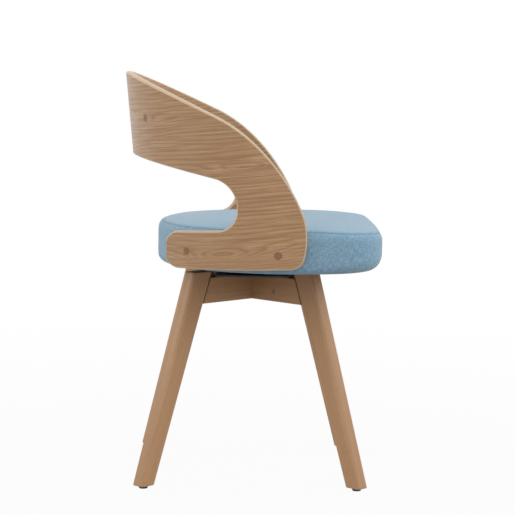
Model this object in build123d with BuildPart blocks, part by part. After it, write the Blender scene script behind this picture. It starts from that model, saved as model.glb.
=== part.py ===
"""Swivel dining chair: a bent plywood shell and a boxed cushion on a ball bearing
swivel, over a crossed base with four splayed legs.

The floor is Z = 0, the swivel axis is the Z axis and the sitter faces +X.  All sizes
are in millimetres.
"""
import os
from math import cos, radians, sin, sqrt, tan

from build123d import *

os.makedirs("parts", exist_ok=True)

# ---------------------------------------------------------------- driving dimensions
# Fits between pieces
glue_fit = 0.05  # radial play of a pin, screw or dowel in its hole
soft_gap = 0.3  # air between upholstery and what it covers
running_gap = 0.3  # air between pieces that turn past each other

# Glides
glide_height = 5.0
glide_radius = 8.0
glide_edge = 1.5
nail_radius = 1.4
nail_head_radius = 4.0
nail_head_height = 1.2
nail_recess = 2.0
nail_length = 18.0

# Legs: horizontal sections, "depth" along the diagonal and "breadth" across it
leg_foot_reach = 272.0  # swivel axis to the middle of the foot
leg_top_reach = 140.0  # swivel axis to the middle of the leg top
leg_top_z = 384.0
leg_foot_depth = 33.0
leg_top_depth = 46.5
leg_breadth = 27.0
leg_corner = 6.0
leg_end_round = 2.0

# Crossed rails, half lapped over the swivel axis
rail_bottom_z = 325.0
rail_height = 47.0
rail_breadth = 26.0
rail_edge = 1.5
lap_gap = 0.1

# Dowels between rails and legs
dowel_radius = 5.0
dowel_in_leg = 20.0
dowel_in_rail = 28.0
dowel_end_play = 1.0
dowel_rise = 13.0  # first dowel above the rail's lower edge
dowel_spacing = 21.0

# Swivel plates and bearing
plate_side = 160.0
plate_corner = 14.0
plate_thickness = 3.0
plate_bolt_pitch = 124.0
base_dish_rise = 7.0
top_dish_drop = 6.4
dish_foot_radius = 60.0
dish_top_radius = 52.0
ball_radius = 3.5
ball_count = 18
race_radius = 40.0
dish_space = 5.6  # between the flat faces of the two dishes
cage_thickness = 2.0
cage_margin = 4.5  # cage edge beyond the balls
pivot_radius = 6.0
pivot_head_radius = 10.0
pivot_head_height = 2.2
washer_radius = 12.5
washer_thickness = 1.2

# Machine screws of the swivel plates
bolt_radius = 3.0
bolt_head_radius = 6.0
bolt_head_height = 4.0
hex_socket_radius = 2.3  # sockets of the bolts and shell screws
insert_radius = 4.6
insert_length = 18.0
tee_nut_radius = 9.0
tee_nut_flange = 1.5
tee_nut_barrel = 4.2

# Seat cushion
cushion_bottom_z = 397.0
seam_z = 460.0
crown_z = 487.0
crown_radius = 1900.0
crown_x = 20.0
crown_sweep = 15.0  # degrees of the crown's arc, past the cushion's corners
cushion_side_gap = 0.6  # air between cushion and wings
cushion_front_x = 236.3
cushion_front_bow = 7.0
cushion_rear_gap = 15.2  # the rear edge, inside the wings' circle
front_corner = 82.0
rear_corner = 60.0
wing_end_angle = 50.1  # where the plan's arc along the wing ends, from the side
top_round = 26.0
bottom_round = 24.0
seam_width = 2.4
seam_depth = 1.4
cover_thickness = 1.5
cover_flange = 34.0  # fabric turned in under the board

# Seat board and frame inside the cushion
board_margin = 1.0  # board's edge inside the cushion's rounded bottom edge
board_thickness = 12.0
frame_inset = 9.0
frame_breadth = 34.0
frame_height = 36.0

# Back shell: a bend round an axis that leans back
shell_thickness = 12.0
shell_radius = 259.0  # outer face of the bend, and half the chair's width
shell_lean = 5.66  # degrees that the bend axis leans back
bend_x = 52.5  # bend axis at bend_z
bend_z = 420.0
shell_base_z = 380.0
shell_stock_height = 420.0
shell_stock_reach = 140.0
shell_edge = 3.8

# Side view of the shell, (x, z) seen from the right: it starts behind the bend
outline_rear_x = -290.0
band_top_rear_z = 766.4
band_top_mid = (-181.5, 720.0)
band_top_end = (-72.5, 671.4)
brow_points = ((5.0, 618.2), (50.7, 564.9), (85.5, 500.2))
nose = (92.4, 457.0)
toe_start = (89.7, 430.8)
toe = (85.1, 405.9)
heel_z = 396.5
heel_share = 0.829  # heel behind the bend axis, as a share of the shell radius
wing_rear_share = 0.7963
wing_rear_z = 463.8
mouth_front_x = -32.5
mouth_low_z = 472.5
mouth_high_z = 553.0
band_low_rear_z = 606.4
toe_round = 25.0
heel_round = 22.0
wing_rear_round = 24.0
mouth_low_round = 36.0
mouth_high_round = 52.0

# Plugged screws through the shell
plug_radius = 7.0
plug_thickness = 5.0
plug_chamfer = 0.3
shell_screw_radius = 2.5
shell_screw_head_radius = 5.5
shell_screw_head = 2.5
wing_screw_length = 38.0
wing_screw_z = 430.2
wing_screw_angles = (48.7, 87.8)  # from the rear of the bend
back_screw_length = 12.0
back_screw_z = 663.7
back_screw_angle = 29.5

# Back pad on its curved board
pad_board_thickness = 5.0
pad_thickness = 24.0
pad_top_rear_z = 738.0  # at the start of the side outline
pad_low_rear_z = 628.0
pad_top_end_z = 681.0  # at the pad's ends
pad_low_end_z = 600.0
pad_end_x = -150.0
pad_corner = 28.0
pad_round = 9.0

# ---------------------------------------------------------------- heights and places
sides = (("right", -1), ("left", 1))
leg_angles = {
    "front_left": 45,
    "rear_left": 135,
    "rear_right": 225,
    "front_right": 315,
}
rail_top_z = rail_bottom_z + rail_height
base_plate_top = rail_top_z + plate_thickness
base_dish_top = base_plate_top + base_dish_rise
top_dish_low = base_dish_top + dish_space
top_plate_top = cushion_bottom_z
top_plate_low = top_plate_top - plate_thickness
ball_z = base_dish_top + dish_space / 2
board_low = cushion_bottom_z + cover_thickness
board_top = board_low + board_thickness
board_inset = bottom_round + board_margin
frame_top = board_top + frame_height
shell_inner_radius = shell_radius - shell_thickness
cushion_half_width = shell_inner_radius - cushion_side_gap
wing_screw_head_depth = plug_thickness + shell_screw_head
lean = radians(shell_lean)


def leg_reach(z):
    """Distance from the swivel axis to the middle of a leg at height z."""
    share = (z - glide_height) / (leg_top_z - glide_height)
    return leg_foot_reach + share * (leg_top_reach - leg_foot_reach)


def leg_depth(z):
    """Depth of a leg's horizontal section at height z."""
    share = (z - glide_height) / (leg_top_z - glide_height)
    return leg_foot_depth + share * (leg_top_depth - leg_foot_depth)


def leg_inner_face(z):
    """Distance from the swivel axis to a leg's inner face at height z."""
    return leg_reach(z) - leg_depth(z) / 2


def diagonal_plane(angle, z=0.0, reach=0.0):
    """Horizontal plane at a distance along a leg's diagonal, x pointing outwards."""
    a = radians(angle)
    out = (cos(a), sin(a), 0)
    origin = (out[0] * reach, out[1] * reach, z)
    return Plane(origin=origin, x_dir=out, z_dir=(0, 0, 1))


def dowel_plane(angle, z):
    """Plane of the joint between rail and leg at height z, facing outwards."""
    a = radians(angle)
    out = (cos(a), sin(a), 0)
    reach = leg_inner_face(z)
    return Plane(origin=(out[0] * reach, out[1] * reach, z), x_dir=(0, 0, 1), z_dir=out)


def bend_plane(z):
    """Plane square to the leaning bend axis, where that axis is at height z."""
    x = bend_x + (bend_z - z) * tan(lean)
    return Plane(origin=(x, 0, z), x_dir=(cos(lean), 0, sin(lean)), z_dir=(-sin(lean), 0, cos(lean)))


def shell_plane(angle, z, side):
    """Plane that touches the shell's outer face at height z, facing outwards."""
    a = radians(angle)
    out = Vector(-cos(a) * cos(lean), side * sin(a), -cos(a) * sin(lean))
    foot = bend_plane(z - shell_radius * out.Z).origin
    return Plane(origin=foot + out * shell_radius, x_dir=(0, 0, 1), z_dir=out)


dowel_heights = [rail_bottom_z + dowel_rise + k * dowel_spacing for k in range(2)]
wing_screw_planes = [shell_plane(a, wing_screw_z, s) for a in wing_screw_angles for _, s in sides]
back_screw_planes = [shell_plane(back_screw_angle, back_screw_z, s) for _, s in sides]


def save(piece, name):
    """Label a finished piece and write it to its file."""
    piece.part.label = name
    export_step(piece.part, f"parts/{name}.step")


# ---------------------------------------------------------------- base: legs and glides
for name, angle in leg_angles.items():
    with BuildPart() as leg:
        for z, depth in ((glide_height, leg_foot_depth), (leg_top_z, leg_top_depth)):
            with BuildSketch(diagonal_plane(angle, z, leg_reach(z))):
                RectangleRounded(depth, leg_breadth, leg_corner)
        loft(ruled=True)
        ends = leg.faces().sort_by(Axis.Z)
        fillet(ends[0].edges() + ends[-1].edges(), radius=leg_end_round)
        with BuildSketch(diagonal_plane(angle, glide_height, leg_foot_reach)):
            Circle(nail_radius + glue_fit)
        extrude(amount=nail_length, mode=Mode.SUBTRACT)
        for z in dowel_heights:
            with BuildSketch(dowel_plane(angle, z).offset(-leg_depth(z) / 4)):
                Circle(dowel_radius + glue_fit)
            extrude(amount=leg_depth(z) / 4 + dowel_in_leg + dowel_end_play, mode=Mode.SUBTRACT)
    save(leg, f"leg_{name}")

    with BuildPart() as glide:
        with BuildSketch(diagonal_plane(angle, 0, leg_foot_reach)):
            Circle(glide_radius)
        extrude(amount=glide_height)
        fillet(glide.faces().sort_by(Axis.Z)[0].edges(), radius=glide_edge)
        with BuildSketch(diagonal_plane(angle, 0, leg_foot_reach)):
            Circle(nail_head_radius + glue_fit)
        extrude(amount=nail_recess + nail_head_height, mode=Mode.SUBTRACT)
        with BuildSketch(diagonal_plane(angle, 0, leg_foot_reach)):
            Circle(nail_radius + glue_fit)
        extrude(amount=glide_height, mode=Mode.SUBTRACT)
    save(glide, f"glide_{name}")

with BuildPart() as glide_nails:
    for angle in leg_angles.values():
        with BuildSketch(diagonal_plane(angle, nail_recess, leg_foot_reach)):
            Circle(nail_head_radius)
        extrude(amount=nail_head_height)
        with BuildSketch(diagonal_plane(angle, nail_recess, leg_foot_reach)):
            Circle(nail_radius)
        extrude(amount=nail_length)
save(glide_nails, "glide_nails")

# ---------------------------------------------------------------- base: crossed rails
for name, angle, notch_z in (("upper", 45, rail_bottom_z), ("lower", 135, rail_bottom_z + rail_height / 2)):
    with BuildPart() as rail:
        across = Plane(origin=(0, 0, 0), x_dir=(cos(radians(angle)), sin(radians(angle)), 0),
                       z_dir=(sin(radians(angle)), -cos(radians(angle)), 0))
        with BuildSketch(across):
            with BuildLine():
                low, high = leg_inner_face(rail_bottom_z), leg_inner_face(rail_top_z)
                Polyline((-low, rail_bottom_z), (low, rail_bottom_z), (high, rail_top_z),
                         (-high, rail_top_z), close=True)
            make_face()
        extrude(amount=rail_breadth / 2, both=True)
        fillet(rail.edges().filter_by(Axis((0, 0, 0), across.x_dir)), radius=rail_edge)
        with BuildSketch(diagonal_plane(angle, notch_z)):
            Rectangle(rail_breadth + 2 * lap_gap, 2 * rail_breadth)
        extrude(amount=rail_height / 2, mode=Mode.SUBTRACT)
        for end in (angle, angle + 180):
            for z in dowel_heights:
                with BuildSketch(dowel_plane(end, z).offset(-dowel_in_rail - dowel_end_play)):
                    Circle(dowel_radius + glue_fit)
                extrude(amount=dowel_in_rail + 2 * leg_corner, mode=Mode.SUBTRACT)
            with BuildSketch(diagonal_plane(end, rail_top_z, plate_bolt_pitch / sqrt(2))):
                Circle(insert_radius + glue_fit)
            extrude(amount=-insert_length, mode=Mode.SUBTRACT)
    save(rail, f"rail_{name}")

with BuildPart() as leg_dowels:
    for angle in leg_angles.values():
        for z in dowel_heights:
            with BuildSketch(dowel_plane(angle, z).offset(-dowel_in_rail)):
                Circle(dowel_radius)
            extrude(amount=dowel_in_rail + dowel_in_leg)
save(leg_dowels, "leg_dowels")

# ---------------------------------------------------------------- swivel plates
corner_bolts = GridLocations(plate_bolt_pitch, plate_bolt_pitch, 2, 2)

with BuildPart() as base_plate:
    with BuildSketch(Plane.XY.offset(rail_top_z)):
        RectangleRounded(plate_side, plate_side, plate_corner)
    extrude(amount=plate_thickness)
    with BuildSketch(Plane.XZ):
        with BuildLine():
            Polyline((0, rail_top_z), (dish_foot_radius, rail_top_z), (dish_foot_radius, base_plate_top),
                     (dish_top_radius, base_dish_top), (0, base_dish_top), close=True)
        make_face()
    revolve(axis=Axis.Z)
    with BuildSketch(Plane.XZ):
        with BuildLine():
            Polyline((0, rail_top_z), (dish_foot_radius - plate_thickness, rail_top_z),
                     (dish_top_radius - plate_thickness, base_dish_top - plate_thickness),
                     (0, base_dish_top - plate_thickness), close=True)
        make_face()
    revolve(axis=Axis.Z, mode=Mode.SUBTRACT)
    with BuildSketch(Plane.XZ):
        with Locations((race_radius, ball_z)):
            Circle(ball_radius + running_gap)
    revolve(axis=Axis.Z, mode=Mode.SUBTRACT)
    with BuildSketch(Plane.XY.offset(rail_top_z)):
        Circle(pivot_radius + glue_fit)
        with corner_bolts:
            Circle(bolt_radius + glue_fit)
    extrude(amount=plate_thickness + base_dish_rise, mode=Mode.SUBTRACT)
save(base_plate, "swivel_base_plate")

with BuildPart() as top_plate:
    with BuildSketch(Plane.XY.offset(top_plate_low)):
        RectangleRounded(plate_side, plate_side, plate_corner)
    extrude(amount=plate_thickness)
    with BuildSketch(Plane.XZ):
        with BuildLine():
            Polyline((0, top_plate_top), (dish_foot_radius, top_plate_top), (dish_foot_radius, top_plate_low),
                     (dish_top_radius, top_dish_low), (0, top_dish_low), close=True)
        make_face()
    revolve(axis=Axis.Z)
    with BuildSketch(Plane.XZ):
        with BuildLine():
            Polyline((0, top_plate_top), (dish_foot_radius - plate_thickness, top_plate_top),
                     (dish_top_radius - plate_thickness, top_dish_low + plate_thickness),
                     (0, top_dish_low + plate_thickness), close=True)
        make_face()
    revolve(axis=Axis.Z, mode=Mode.SUBTRACT)
    with BuildSketch(Plane.XZ):
        with Locations((race_radius, ball_z)):
            Circle(ball_radius + running_gap)
    revolve(axis=Axis.Z, mode=Mode.SUBTRACT)
    with BuildSketch(Plane.XY.offset(top_dish_low)):
        Circle(pivot_radius + glue_fit)
        with corner_bolts:
            Circle(bolt_radius + glue_fit)
    extrude(amount=top_plate_top - top_dish_low, mode=Mode.SUBTRACT)
save(top_plate, "swivel_top_plate")

# Pivot rivet, clenched under the base dish and over the washer on the top dish
washer_low = top_dish_low + plate_thickness + running_gap
with BuildPart() as pivot_rivet:
    with BuildSketch(Plane.XZ):
        with BuildLine():
            head_low = base_dish_top - plate_thickness - pivot_head_height
            head_high = washer_low + washer_thickness
            Polyline((0, head_low), (pivot_head_radius, head_low),
                     (pivot_head_radius, head_low + pivot_head_height),
                     (pivot_radius, head_low + pivot_head_height), (pivot_radius, head_high),
                     (pivot_head_radius, head_high), (pivot_head_radius, head_high + pivot_head_height),
                     (0, head_high + pivot_head_height), close=True)
        make_face()
    revolve(axis=Axis.Z)
save(pivot_rivet, "pivot_rivet")

with BuildPart() as pivot_washer:
    with BuildSketch(Plane.XY.offset(washer_low)):
        Circle(washer_radius)
        Circle(pivot_radius + glue_fit, mode=Mode.SUBTRACT)
    extrude(amount=washer_thickness)
save(pivot_washer, "pivot_washer")

with BuildPart() as ball_cage:
    with BuildSketch(Plane.XY.offset(ball_z - cage_thickness / 2)):
        Circle(race_radius + ball_radius + cage_margin)
        Circle(race_radius - ball_radius - cage_margin, mode=Mode.SUBTRACT)
        with PolarLocations(race_radius, ball_count):
            Circle(ball_radius + glue_fit, mode=Mode.SUBTRACT)
    extrude(amount=cage_thickness)
save(ball_cage, "ball_cage")

with BuildPart() as bearing_balls:
    with PolarLocations(race_radius, ball_count):
        with Locations((0, 0, ball_z)):
            Sphere(ball_radius)
save(bearing_balls, "bearing_balls")

# ---------------------------------------------------------------- swivel fasteners
with BuildPart() as base_bolts:
    with BuildSketch(Plane.XY.offset(base_plate_top)):
        with corner_bolts:
            Circle(bolt_head_radius)
    extrude(amount=bolt_head_height)
    fillet(base_bolts.faces().group_by(Axis.Z)[-1].edges(), radius=bolt_head_height / 4)
    with BuildSketch(Plane.XY.offset(base_plate_top + bolt_head_height)):
        with corner_bolts:
            RegularPolygon(hex_socket_radius, 6)
    extrude(amount=-bolt_head_height / 2, mode=Mode.SUBTRACT)
    with BuildSketch(Plane.XY.offset(base_plate_top)):
        with corner_bolts:
            Circle(bolt_radius)
    extrude(amount=-plate_thickness - insert_length * 3 / 4)
save(base_bolts, "base_plate_bolts")

with BuildPart() as rail_inserts:
    with BuildSketch(Plane.XY.offset(rail_top_z)):
        with corner_bolts:
            Circle(insert_radius)
            Circle(bolt_radius + glue_fit, mode=Mode.SUBTRACT)
    extrude(amount=-insert_length)
save(rail_inserts, "rail_inserts")

with BuildPart() as top_bolts:
    with BuildSketch(Plane.XY.offset(top_plate_low)):
        with corner_bolts:
            Circle(bolt_head_radius)
    extrude(amount=-bolt_head_height)
    fillet(top_bolts.faces().group_by(Axis.Z)[0].edges(), radius=bolt_head_height / 4)
    with BuildSketch(Plane.XY.offset(top_plate_low - bolt_head_height)):
        with corner_bolts:
            RegularPolygon(hex_socket_radius, 6)
    extrude(amount=bolt_head_height / 2, mode=Mode.SUBTRACT)
    with BuildSketch(Plane.XY.offset(top_plate_low)):
        with corner_bolts:
            Circle(bolt_radius)
    extrude(amount=board_top - top_plate_low)
save(top_bolts, "top_plate_bolts")

with BuildPart() as tee_nuts:
    with BuildSketch(Plane.XY.offset(board_top)):
        with corner_bolts:
            Circle(tee_nut_radius)
    extrude(amount=tee_nut_flange)
    with BuildSketch(Plane.XY.offset(board_top)):
        with corner_bolts:
            Circle(tee_nut_barrel)
    extrude(amount=-board_thickness * 3 / 4)
    with BuildSketch(Plane.XY.offset(board_low)):
        with corner_bolts:
            Circle(bolt_radius + glue_fit)
    extrude(amount=board_thickness + tee_nut_flange, mode=Mode.SUBTRACT)
save(tee_nuts, "seat_tee_nuts")


# ---------------------------------------------------------------- seat
def seat_plan(inset):
    """Plan of the cushion, drawn in by inset: square front, round back."""
    half_width = cushion_half_width - inset
    front_x = cushion_front_x - inset
    side_front_x = front_x - cushion_front_bow
    bend_centre_x = bend_plane(heel_z).origin.X
    rear_x = bend_centre_x - half_width + cushion_rear_gap
    mid, end = radians(wing_end_angle / 2), radians(wing_end_angle)
    with BuildSketch() as plan:
        with BuildLine():
            ThreePointArc((side_front_x, -half_width), (front_x, 0), (side_front_x, half_width))
            for side in (1, -1):
                Line((side_front_x, side * half_width), (bend_centre_x, side * half_width))
                ThreePointArc((bend_centre_x, side * half_width),
                              (bend_centre_x - half_width * sin(mid), side * half_width * cos(mid)),
                              (bend_centre_x - half_width * sin(end), side * half_width * cos(end)))
            rear_turn = Vector(bend_centre_x - half_width * sin(end), half_width * cos(end))
            ThreePointArc((rear_turn.X, rear_turn.Y), (rear_x, 0), (rear_turn.X, -rear_turn.Y))
        make_face()
        fillet(plan.vertices().group_by(Axis.X)[0], radius=rear_corner - inset)
        fillet(plan.vertices().group_by(Axis.X)[-1], radius=front_corner - inset)
    return plan.sketch


def cushion_form(inset):
    """Crowned cushion block, drawn in by inset on every face."""
    low, high = cushion_bottom_z + inset, crown_z - inset
    with BuildPart() as form:
        with BuildSketch(Plane.XY.offset(low)):
            add(seat_plan(inset))
        extrude(amount=high - low)
        with BuildSketch(Plane.XZ):
            with BuildLine():
                side = CenterArc((crown_x, high - crown_radius), crown_radius, 90, -crown_sweep)
                Polyline(side @ 1, ((side @ 1).X, low), (crown_x, low), side @ 0)
            make_face()
        revolve(axis=Axis((crown_x, 0, 0), (0, 0, 1)), mode=Mode.INTERSECT)
        layers = form.faces().sort_by(Axis.Z)
        fillet(layers[-1].edges(), radius=top_round - inset)
        fillet(layers[0].edges(), radius=bottom_round - inset)
    return form.part


with BuildPart() as seat_board:
    with BuildSketch(Plane.XY.offset(board_low)):
        add(seat_plan(board_inset))
        with corner_bolts:
            Circle(tee_nut_barrel + glue_fit, mode=Mode.SUBTRACT)
    extrude(amount=board_thickness)
save(seat_board, "seat_board")

with BuildPart() as seat_frame:
    with BuildSketch(Plane.XY.offset(board_top)):
        add(seat_plan(frame_inset))
        add(seat_plan(frame_inset + frame_breadth), mode=Mode.SUBTRACT)
    extrude(amount=frame_height)
    for place in wing_screw_planes:
        with BuildSketch(place.offset(-wing_screw_head_depth - wing_screw_length)):
            Circle(shell_screw_radius + glue_fit)
        extrude(amount=wing_screw_length, mode=Mode.SUBTRACT)
save(seat_frame, "seat_frame")

with BuildPart() as seat_foam:
    add(cushion_form(cover_thickness + soft_gap))
    with BuildSketch(Plane.XY.offset(cushion_bottom_z)):
        add(seat_plan(board_inset - soft_gap))
    extrude(amount=board_top - cushion_bottom_z + soft_gap, mode=Mode.SUBTRACT)
    with BuildSketch(Plane.XY.offset(board_top - soft_gap)):
        add(seat_plan(frame_inset - soft_gap))
        add(seat_plan(frame_inset + frame_breadth + soft_gap), mode=Mode.SUBTRACT)
    extrude(amount=frame_height + 2 * soft_gap, mode=Mode.SUBTRACT)
    with BuildSketch(Plane.XY.offset(board_top)):
        with corner_bolts:
            Circle(tee_nut_radius + soft_gap)
    extrude(amount=tee_nut_flange + 2 * soft_gap, mode=Mode.SUBTRACT)
    for place in wing_screw_planes:
        with BuildSketch(place):
            Circle(shell_screw_radius + soft_gap)
        extrude(amount=-wing_screw_head_depth - wing_screw_length, mode=Mode.SUBTRACT)
save(seat_foam, "seat_foam")

with BuildPart() as seat_cover:
    add(cushion_form(0))
    with BuildSketch(Plane.XY.offset(seam_z - seam_width / 2)):
        add(seat_plan(0))
        add(seat_plan(seam_depth), mode=Mode.SUBTRACT)
    extrude(amount=seam_width, mode=Mode.SUBTRACT)
    add(cushion_form(cover_thickness), mode=Mode.SUBTRACT)
    with BuildSketch(Plane.XY.offset(cushion_bottom_z)):
        add(seat_plan(cover_flange))
    extrude(amount=cover_thickness, mode=Mode.SUBTRACT)
    for place in wing_screw_planes:
        with BuildSketch(place):
            Circle(shell_screw_radius + soft_gap)
        extrude(amount=-wing_screw_head_depth - wing_screw_length, mode=Mode.SUBTRACT)
save(seat_cover, "seat_cover")

with BuildPart() as dust_cover:
    with BuildSketch(Plane.XY.offset(cushion_bottom_z)):
        add(seat_plan(cover_flange + soft_gap))
        with corner_bolts:
            Circle(bolt_radius + soft_gap, mode=Mode.SUBTRACT)
    extrude(amount=cover_thickness)
save(dust_cover, "dust_cover")


# ---------------------------------------------------------------- back shell
def bend_section(outer, inner, reach):
    """Section square to the bend axis: a half ring with straight sides to the front."""
    with BuildSketch() as section:
        with BuildLine():
            Line((reach, -outer), (0, -outer))
            ThreePointArc((0, -outer), (-outer, 0), (0, outer))
            Polyline((0, outer), (reach, outer), (reach, inner), (0, inner))
            ThreePointArc((0, inner), (-inner, 0), (0, -inner))
            Polyline((0, -inner), (reach, -inner), (reach, -outer))
        make_face()
    return section.sketch


def side_outline():
    """Side view of the shell: back band, sweeping brow, wing and the mouth between."""
    with BuildSketch() as outline:
        with BuildLine():
            top = ThreePointArc((outline_rear_x, band_top_rear_z), band_top_mid, band_top_end)
            brow = Spline(band_top_end, *brow_points, nose, tangents=[top % 1, (0, -1)])
            front = TangentArc(brow @ 1, toe_start, tangent=(0, -1))
            heel_x = bend_plane(heel_z).origin.X - heel_share * shell_radius
            wing_rear_x = bend_plane(wing_rear_z).origin.X - wing_rear_share * shell_radius
            FilletPolyline(front @ 1, toe, (heel_x, heel_z), (wing_rear_x, wing_rear_z),
                           (mouth_front_x, mouth_low_z), (mouth_front_x, mouth_high_z),
                           (outline_rear_x, band_low_rear_z), top @ 0,
                           radius=[toe_round, heel_round, wing_rear_round, mouth_low_round,
                                   mouth_high_round, shell_edge])
        make_face()
    return outline.sketch


def bend_distance(point):
    """Distance of a point from the leaning bend axis."""
    axis = bend_plane(bend_z)
    arm = point - axis.origin
    return (arm - axis.z_dir * arm.dot(axis.z_dir)).length


def on_outer_side(face):
    """True for a face on the shell's outer side, bent or flat."""
    if face.geom_type == GeomType.CYLINDER:
        points = [face.position_at(share, share) for share in (0.25, 0.75)]
        return all(abs(bend_distance(p) - shell_radius) < glue_fit for p in points)
    return abs(abs(face.center().Y) - shell_radius) < glue_fit


side_reach = shell_radius + shell_thickness
side_plane = Plane.XZ.offset(-side_reach)  # beyond the left side, facing right

with BuildPart() as shell_stock:
    with BuildSketch(bend_plane(shell_base_z)):
        add(bend_section(shell_radius, shell_inner_radius, shell_stock_reach))
    extrude(amount=shell_stock_height)
    with BuildSketch(side_plane):
        add(side_outline())
    extrude(amount=2 * side_reach, mode=Mode.INTERSECT)

# The edges are cut square to the sheet, so the outer faces are thickened inwards
with BuildPart() as back_shell:
    for face in shell_stock.faces().filter_by(on_outer_side):
        thicken(face, amount=-shell_thickness)
    fillet(back_shell.edges(), radius=shell_edge)
    for place in wing_screw_planes + back_screw_planes:
        with BuildSketch(place.offset(plug_chamfer)):
            Circle(plug_radius + glue_fit)
        extrude(amount=-plug_chamfer - plug_thickness - shell_screw_head, mode=Mode.SUBTRACT)
        with BuildSketch(place):
            Circle(shell_screw_radius + glue_fit)
        extrude(amount=-2 * shell_thickness, mode=Mode.SUBTRACT)
save(back_shell, "back_shell")


def plugs(places):
    """Flat wood plugs, flush with the shell, one at each place."""
    with BuildPart() as group:
        for place in places:
            with BuildSketch(place.offset(-plug_thickness)):
                Circle(plug_radius)
            extrude(amount=plug_thickness)
        faces_out = [group.faces().sort_by(Axis(p.origin, p.z_dir))[-1] for p in places]
        chamfer([f.edges() for f in faces_out], length=plug_chamfer)
    return group.part


def shell_screws(places, length):
    """Flat-headed wood screws under the plugs, one at each place."""
    with BuildPart() as group:
        for place in places:
            with BuildSketch(place.offset(-plug_thickness - shell_screw_head)):
                Circle(shell_screw_head_radius)
            extrude(amount=shell_screw_head)
            with BuildSketch(place.offset(-plug_thickness)):
                RegularPolygon(hex_socket_radius, 6)
            extrude(amount=-shell_screw_head / 2, mode=Mode.SUBTRACT)
            with BuildSketch(place.offset(-plug_thickness - shell_screw_head)):
                Circle(shell_screw_radius)
            extrude(amount=-length)
    return group.part


for name, places, length in (("wing", wing_screw_planes, wing_screw_length),
                             ("back", back_screw_planes, back_screw_length)):
    with BuildPart() as plug_group:
        add(plugs(places))
    save(plug_group, f"{name}_plugs")
    with BuildPart() as screw_group:
        add(shell_screws(places, length))
    save(screw_group, f"{name}_screws")


# ---------------------------------------------------------------- back pad
def on_pad_front(edge, radius):
    """True for an edge that lies on the pad's front face."""
    return abs(bend_distance(edge @ 0.5) - radius) < soft_gap


def pad_block(outer, inner):
    """Curved block between two radii, trimmed to the pad's side view."""
    with BuildPart() as block:
        with BuildSketch(bend_plane(shell_base_z)):
            add(bend_section(outer, inner, shell_stock_reach))
        extrude(amount=shell_stock_height)
        with BuildSketch(side_plane):
            with BuildLine():
                FilletPolyline((outline_rear_x, pad_top_rear_z), (pad_end_x, pad_top_end_z),
                               (pad_end_x, pad_low_end_z), (outline_rear_x, pad_low_rear_z),
                               radius=pad_corner)
                Line((outline_rear_x, pad_low_rear_z), (outline_rear_x, pad_top_rear_z))
            make_face()
        extrude(amount=2 * side_reach, mode=Mode.INTERSECT)
    return block.part


with BuildPart() as pad_board:
    add(pad_block(shell_inner_radius, shell_inner_radius - pad_board_thickness))
    for place in back_screw_planes:
        with BuildSketch(place):
            Circle(shell_screw_radius + glue_fit)
        extrude(amount=-shell_thickness - 2 * pad_board_thickness, mode=Mode.SUBTRACT)
save(pad_board, "back_pad_board")

with BuildPart() as back_pad:
    pad_rear = shell_inner_radius - pad_board_thickness - soft_gap
    add(pad_block(pad_rear, pad_rear - pad_thickness))
    front_edges = back_pad.edges().filter_by(lambda e: on_pad_front(e, pad_rear - pad_thickness))
    fillet(front_edges, radius=pad_round)
    for place in back_screw_planes:
        with BuildSketch(place):
            Circle(shell_screw_radius + soft_gap)
        extrude(amount=-shell_thickness - pad_board_thickness - 2 * pad_round, mode=Mode.SUBTRACT)
save(back_pad, "back_pad")
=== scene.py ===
# %% [markdown]
# # Swivel dining chair
# A bent plywood shell holds a boxed linen cushion over a crossed beech base, and the
# seat turns on a ball bearing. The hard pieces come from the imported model, which this
# lesson loads as a fixed frame. They get their finishes here, and the soft pieces are
# made new around them. All sizes are in metres, with the floor at Z = 0, the swivel
# axis on Z and the sitter facing +X.

from math import atan2, cos, pi, radians, sin, sqrt

import bpy
import numpy as np
from mathutils import Matrix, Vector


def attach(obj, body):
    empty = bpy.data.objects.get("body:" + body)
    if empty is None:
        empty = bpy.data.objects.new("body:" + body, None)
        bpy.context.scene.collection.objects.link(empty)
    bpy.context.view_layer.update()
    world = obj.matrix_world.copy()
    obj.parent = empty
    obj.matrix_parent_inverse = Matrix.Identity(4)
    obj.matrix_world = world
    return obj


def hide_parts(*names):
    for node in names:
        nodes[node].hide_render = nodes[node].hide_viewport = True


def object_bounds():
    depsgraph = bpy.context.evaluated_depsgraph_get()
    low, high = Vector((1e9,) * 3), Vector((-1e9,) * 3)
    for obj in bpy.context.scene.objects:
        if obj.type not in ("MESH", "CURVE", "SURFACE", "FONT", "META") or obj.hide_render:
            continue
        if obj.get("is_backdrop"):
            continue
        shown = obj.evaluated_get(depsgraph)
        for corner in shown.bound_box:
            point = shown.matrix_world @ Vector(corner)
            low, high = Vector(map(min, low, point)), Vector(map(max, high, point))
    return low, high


scene = bpy.context.scene
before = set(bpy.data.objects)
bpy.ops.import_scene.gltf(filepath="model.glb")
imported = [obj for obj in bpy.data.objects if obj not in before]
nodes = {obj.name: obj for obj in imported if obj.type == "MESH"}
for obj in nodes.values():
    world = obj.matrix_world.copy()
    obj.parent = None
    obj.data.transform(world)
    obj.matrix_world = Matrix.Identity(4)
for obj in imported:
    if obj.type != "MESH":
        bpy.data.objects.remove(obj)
cad_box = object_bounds()

# %% [markdown]
# ## The camera
# The photograph is taken from the chair's right side, about three and a half metres
# away with a long lens, a little above the seat. A camera could be placed by eye, but
# this one was fitted to known points of the chair in it. The seat stands slightly turned
# on its swivel there. The model stays square, so the camera walks round it by part of
# that angle.

# %% Camera
frame_width_px = 515
lens_px = 1935.2  # focal length in pixels of the photograph
sensor_width_mm = 36.0
camera_distance = 3.6216
camera_side = 0.0101
camera_height = 0.7744
camera_pitch = radians(5.893)  # looking down
camera_roll = radians(0.930)
walk_round = Matrix.Rotation(radians(-1.0), 4, "Z")


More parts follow.
